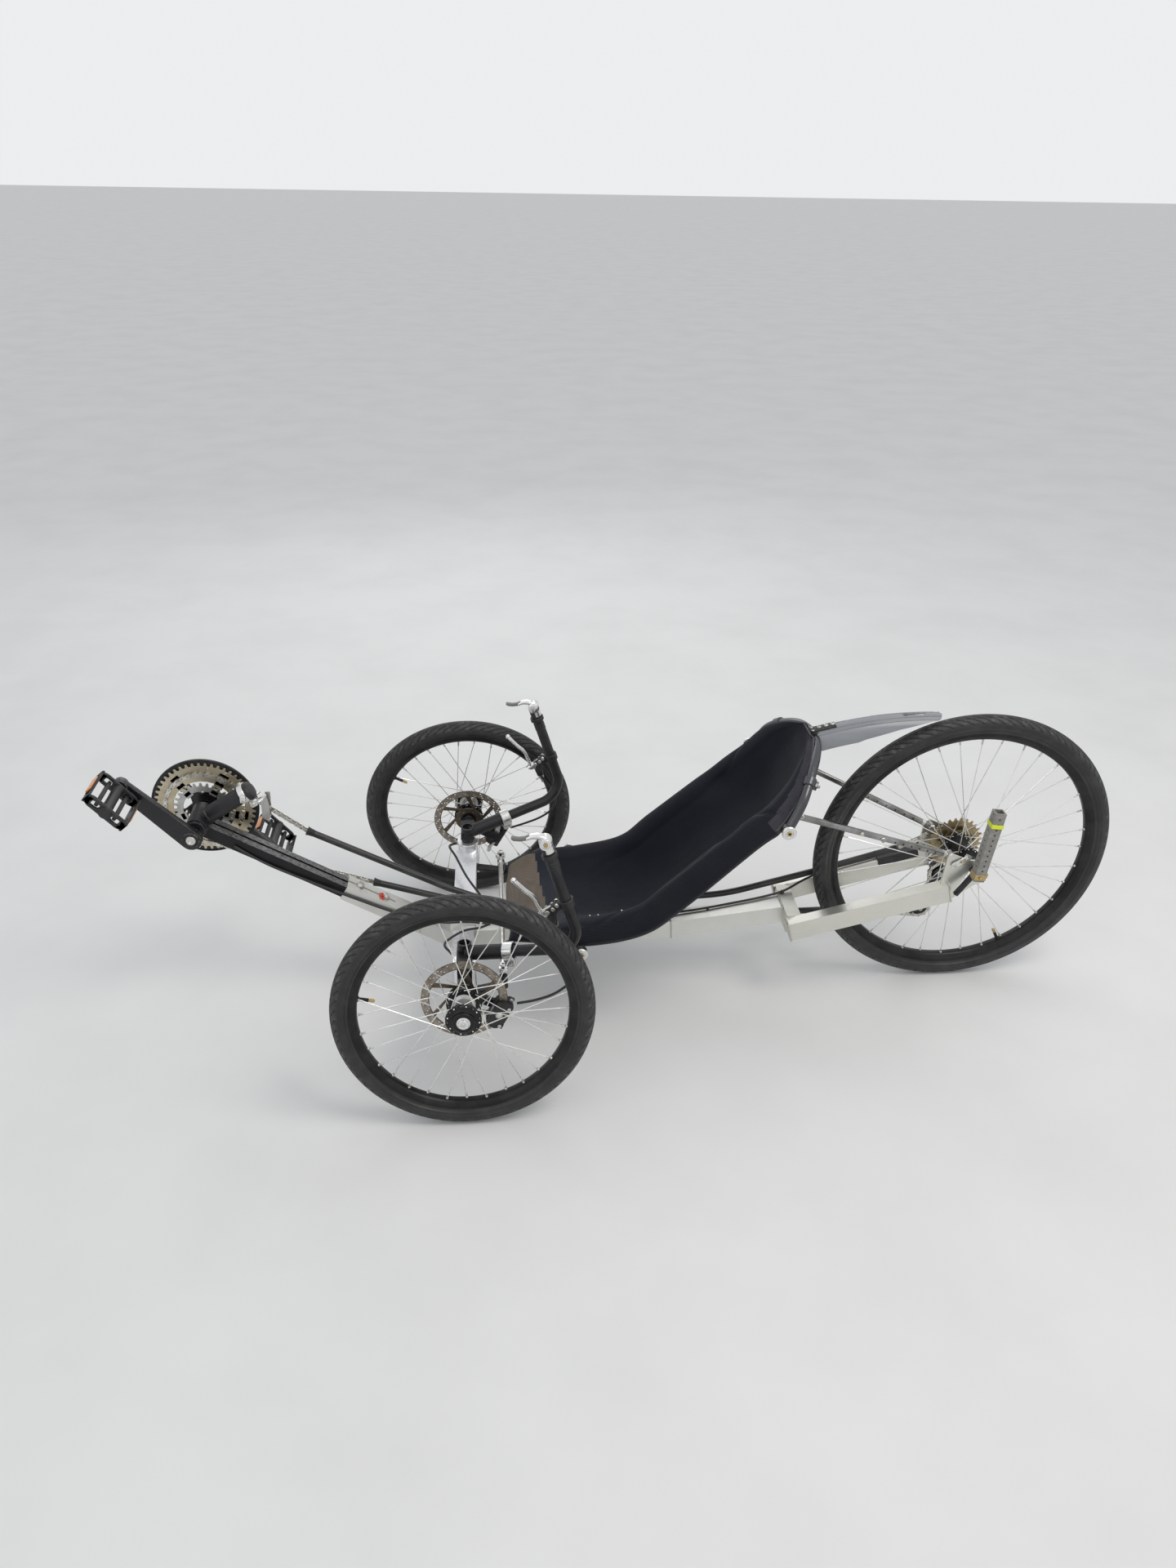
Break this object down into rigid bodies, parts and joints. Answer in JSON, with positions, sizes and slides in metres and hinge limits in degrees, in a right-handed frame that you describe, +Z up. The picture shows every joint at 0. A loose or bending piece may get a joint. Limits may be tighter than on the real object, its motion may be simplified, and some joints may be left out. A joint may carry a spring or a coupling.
{
  "type": "recumbent trike",
  "caption": "Tadpole recumbent trike with two steered, disc-braked front wheels, a slung seat, side handlebars and a driven rear wheel.",
  "frame": {"origin": "on the ground, at the middle of the trike's length and between its front wheels", "axes": "+X forward, +Y to the rider's left, +Z up"},
  "size_m": [2.0433, 0.8288, 0.6685],
  "materials": {
    "tyre_rubber": "matte black rubber",
    "black_rim": "black anodised with bare spokes",
    "rotor_steel": "brown-tinted steel",
    "bare_alloy": "satin bare aluminium",
    "black_alloy": "black anodised, worn at the edges",
    "black_paint": "satin black",
    "silver_part": "polished",
    "steel": "bright",
    "gold_steel": "brown and gold",
    "black_plastic": "black",
    "grey_plastic": "silver grey",
    "amber": "orange reflector",
    "seat_fabric": "black stretch fabric",
    "cable_black": "black casing",
    "clear_plastic": "grey translucent"
  },
  "bodies": {
    "frame": {"boom": "black_alloy", "bottom_bracket": "black_paint", "chain": "steel", "chain_tube_lower": "black_plastic", "chain_tube_upper": "black_plastic", "chainstay_left": "bare_alloy", "chainstay_right": "bare_alloy", "cross_arm_left": "bare_alloy", "cross_arm_right": "bare_alloy", "fender_bracket": "black_plastic", "flag_holder": "clear_plastic", "front_derailleur": "silver_part", "front_shift_cable": "cable_black", "main_frame": "bare_alloy", "rear_axle": "black_paint", "rear_derailleur": "black_paint", "rear_fender": "grey_plastic", "rear_shift_cable": "cable_black", "rear_yoke": "bare_alloy", "seat_cover": "seat_fabric", "seat_hoop": "black_paint", "seat_strap": "black_paint", "seat_strut_left": "steel", "seat_strut_right": "steel", "stay_guard": "cable_black"},
    "crank": {"crank_left": "black_paint", "crank_right": "black_paint", "chainrings": "gold_steel", "chain_guard": "black_plastic"},
    "left_pedal": {"pedal_left": "black_plastic", "pedal_reflectors_left": "amber"},
    "right_pedal": {"pedal_right": "black_plastic", "pedal_reflectors_right": "amber"},
    "tie_rod": {"tie_rod": "steel"},
    "rear_wheel": {"rear_wheel": "black_rim", "rear_tyre": "tyre_rubber", "cassette": "gold_steel"},
    "left_knuckle": {"knuckle_left": "black_paint", "bar_socket_left": "black_paint", "bar_clamp_left": "silver_part", "handlebar_left": "black_paint", "brake_lever_left": "silver_part", "shifter_left": "silver_part", "brake_calliper_left": "black_plastic", "brake_cable_left": "cable_black"},
    "left_wheel": {"front_wheel_left": "black_rim", "front_tyre_left": "tyre_rubber", "brake_rotor_left": "rotor_steel"},
    "right_knuckle": {"knuckle_right": "black_paint", "bar_socket_right": "black_paint", "bar_clamp_right": "silver_part", "handlebar_right": "black_paint", "brake_lever_right": "silver_part", "shifter_right": "silver_part", "brake_calliper_right": "black_plastic", "brake_cable_right": "cable_black"},
    "right_wheel": {"front_wheel_right": "black_rim", "front_tyre_right": "tyre_rubber", "brake_rotor_right": "rotor_steel"}
  },
  "joints": [
    {"name": "steer_left", "type": "hinge", "parent": "frame", "child": "left_knuckle", "pos_m": [0.35232, 0.225, 0.213], "axis": [0, -0.1045, 0.9945], "range_deg": [-28, 28]},
    {"name": "front_wheel_spin_left", "type": "hinge", "parent": "left_knuckle", "child": "left_wheel", "pos_m": [0.35232, 0.373, 0.2399], "axis": [0, 0.9951, 0.0993], "continuous": true},
    {"name": "steer_right", "type": "hinge", "parent": "frame", "child": "right_knuckle", "pos_m": [0.35232, -0.225, 0.213], "axis": [0, 0.1045, 0.9945], "range_deg": [-28, 28]},
    {"name": "front_wheel_spin_right", "type": "hinge", "parent": "right_knuckle", "child": "right_wheel", "pos_m": [0.35232, -0.373, 0.2399], "axis": [0, 0.9951, -0.0993], "continuous": true},
    {"name": "rear_wheel_spin", "type": "hinge", "parent": "frame", "child": "rear_wheel", "pos_m": [-0.70168, 0, 0.32], "axis": [0, 1, 0], "continuous": true},
    {"name": "crank_spin", "type": "hinge", "parent": "frame", "child": "crank", "pos_m": [0.87232, 0, 0.442], "axis": [0, 1, 0], "continuous": true},
    {"name": "pedal_spin_left", "type": "hinge", "parent": "crank", "child": "left_pedal", "pos_m": [0.98485, 0.13, 0.56267], "axis": [0, 1, 0], "continuous": true},
    {"name": "pedal_spin_right", "type": "hinge", "parent": "crank", "child": "right_pedal", "pos_m": [0.75979, -0.13, 0.32133], "axis": [0, 1, 0], "continuous": true},
    {"name": "tie_rod_swing", "type": "hinge", "parent": "left_knuckle", "child": "tie_rod", "pos_m": [0.27932, 0.209, 0.208], "axis": [0.0338, -0.104, 0.994], "range_deg": [-31, 31]}
  ],
  "couplings": [
    {"joint": "steer_right", "follows": "steer_left", "ratio": 1},
    {"joint": "tie_rod_swing", "follows": "steer_left", "ratio": -1.0757}
  ]
}
